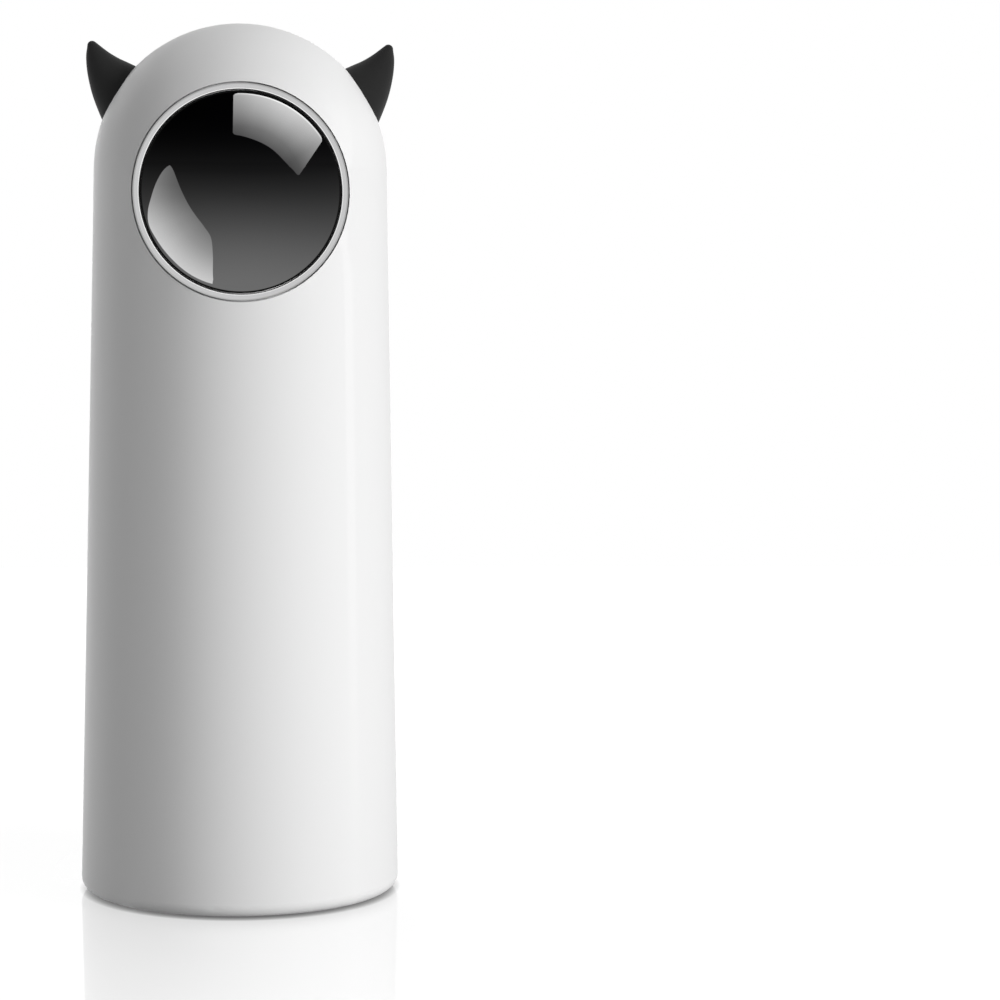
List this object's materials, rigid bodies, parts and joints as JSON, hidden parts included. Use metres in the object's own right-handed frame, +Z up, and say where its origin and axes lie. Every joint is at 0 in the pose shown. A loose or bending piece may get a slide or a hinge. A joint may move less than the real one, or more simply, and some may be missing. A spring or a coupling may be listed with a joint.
{
  "type": "automatic cat laser toy",
  "caption": "Round drafted tower with a domed top, soft horns and a round dark window; slider-tilted laser head with spinning mirror, push buttons, USB socket and sliding battery door.",
  "frame": {"origin": "on the floor, under the middle of the round base", "axes": "+Z up; the round window faces -Y; the slider, buttons, USB socket and battery door are on the +Y side; the horns point to -X and +X"},
  "size_m": [0.078, 0.078, 0.212],
  "materials": {
    "shell_white": "satin",
    "bezel_silver": "satin",
    "window_black": "gloss",
    "horn_black": "matte",
    "foot_rubber": "matte",
    "inner_grey": "matte",
    "inner_black": "matte",
    "gear_nylon": "satin",
    "board_green": "satin",
    "steel": "brushed",
    "brass": "satin",
    "cell_sleeve": "gloss",
    "clear_lens": "polished",
    "mirror_face": "polished",
    "led_yellow": "gloss"
  },
  "bodies": {
    "housing": {"main_housing": "shell_white", "base_cap": "shell_white", "lens_bezel": "bezel_silver", "lens_window": "window_black", "horn_left": "horn_black", "horn_right": "horn_black", "base_screws": "steel", "foot_front": "foot_rubber", "foot_left": "foot_rubber", "foot_right": "foot_rubber", "battery_cell_left": "cell_sleeve", "battery_cell_middle": "cell_sleeve", "battery_cell_right": "cell_sleeve", "battery_contacts_front": "steel", "battery_contacts_rear": "steel", "chassis_frame": "inner_grey", "chassis_screws": "steel", "main_board": "board_green", "board_screws": "steel", "board_components": "inner_black", "tact_switches": "inner_black", "usb_port": "steel", "usb_tongue": "inner_black", "status_leds": "led_yellow", "indicator_lenses": "inner_black", "pivot_screws": "steel", "friction_washers": "steel"},
    "battery_door": {"battery_door": "shell_white"},
    "tilt_head": {"tilt_cradle": "inner_black", "slot_shutter": "shell_white", "shutter_screws": "steel", "thumb_pad": "shell_white", "laser_module": "brass", "laser_lens": "clear_lens", "laser_board": "board_green", "laser_clamp": "inner_black", "laser_clamp_screws": "steel", "gearbox_front_plate": "inner_grey", "gearbox_rear_plate": "inner_grey", "gearbox_screws": "steel", "drive_motor": "steel", "motor_screws": "steel", "idler_axle": "steel", "output_bush": "brass"},
    "mirror_rotor": {"output_gear": "gear_nylon", "mirror_shaft": "steel", "mirror_holder": "inner_black", "mirror": "mirror_face"},
    "idler": {"idler_gear": "gear_nylon"},
    "motor_rotor": {"motor_pinion": "brass", "motor_shaft": "steel"},
    "button_one": {"button_one": "shell_white", "switch_plunger_one": "inner_black"},
    "button_two": {"button_two": "shell_white", "switch_plunger_two": "inner_black"},
    "button_three": {"button_three": "shell_white", "switch_plunger_three": "inner_black"},
    "button_power": {"button_power": "shell_white", "switch_plunger_power": "inner_black"}
  },
  "joints": [
    {"name": "head_tilt", "type": "hinge", "parent": "housing", "child": "tilt_head", "pos_m": [0, 0, 0.17651], "axis": [1, 0, 0], "range_deg": [0, 11]},
    {"name": "mirror_spin", "type": "hinge", "parent": "tilt_head", "child": "mirror_rotor", "pos_m": [0, -0.011, 0.16601], "axis": [0, 0.6494, 0.7604], "continuous": true},
    {"name": "idler_spin", "type": "hinge", "parent": "tilt_head", "child": "idler", "pos_m": [0, -0.01974, 0.17348], "axis": [0, 0.6494, 0.7604], "continuous": true},
    {"name": "motor_spin", "type": "hinge", "parent": "tilt_head", "child": "motor_rotor", "pos_m": [0, -0.011, 0.16601], "axis": [0, 0.6494, 0.7604], "continuous": true},
    {"name": "door_slide", "type": "slide", "parent": "housing", "child": "battery_door", "axis": [0, 1, 0], "range_m": [0, 0.07]},
    {"name": "press_one", "type": "slide", "parent": "housing", "child": "button_one", "axis": [0, -1, 0], "range_m": [0, 0.0004], "stiffness_N_per_m": 600, "springref_m": -0.0005},
    {"name": "press_two", "type": "slide", "parent": "housing", "child": "button_two", "axis": [0, -1, 0], "range_m": [0, 0.0004], "stiffness_N_per_m": 600, "springref_m": -0.0005},
    {"name": "press_three", "type": "slide", "parent": "housing", "child": "button_three", "axis": [0, -1, 0], "range_m": [0, 0.0004], "stiffness_N_per_m": 600, "springref_m": -0.0005},
    {"name": "press_power", "type": "slide", "parent": "housing", "child": "button_power", "axis": [0, -1, 0], "range_m": [0, 0.0004], "stiffness_N_per_m": 600, "springref_m": -0.0005}
  ],
  "couplings": [
    {"joint": "idler_spin", "follows": "mirror_spin", "ratio": -3.6},
    {"joint": "motor_spin", "follows": "mirror_spin", "ratio": 12.96}
  ]
}
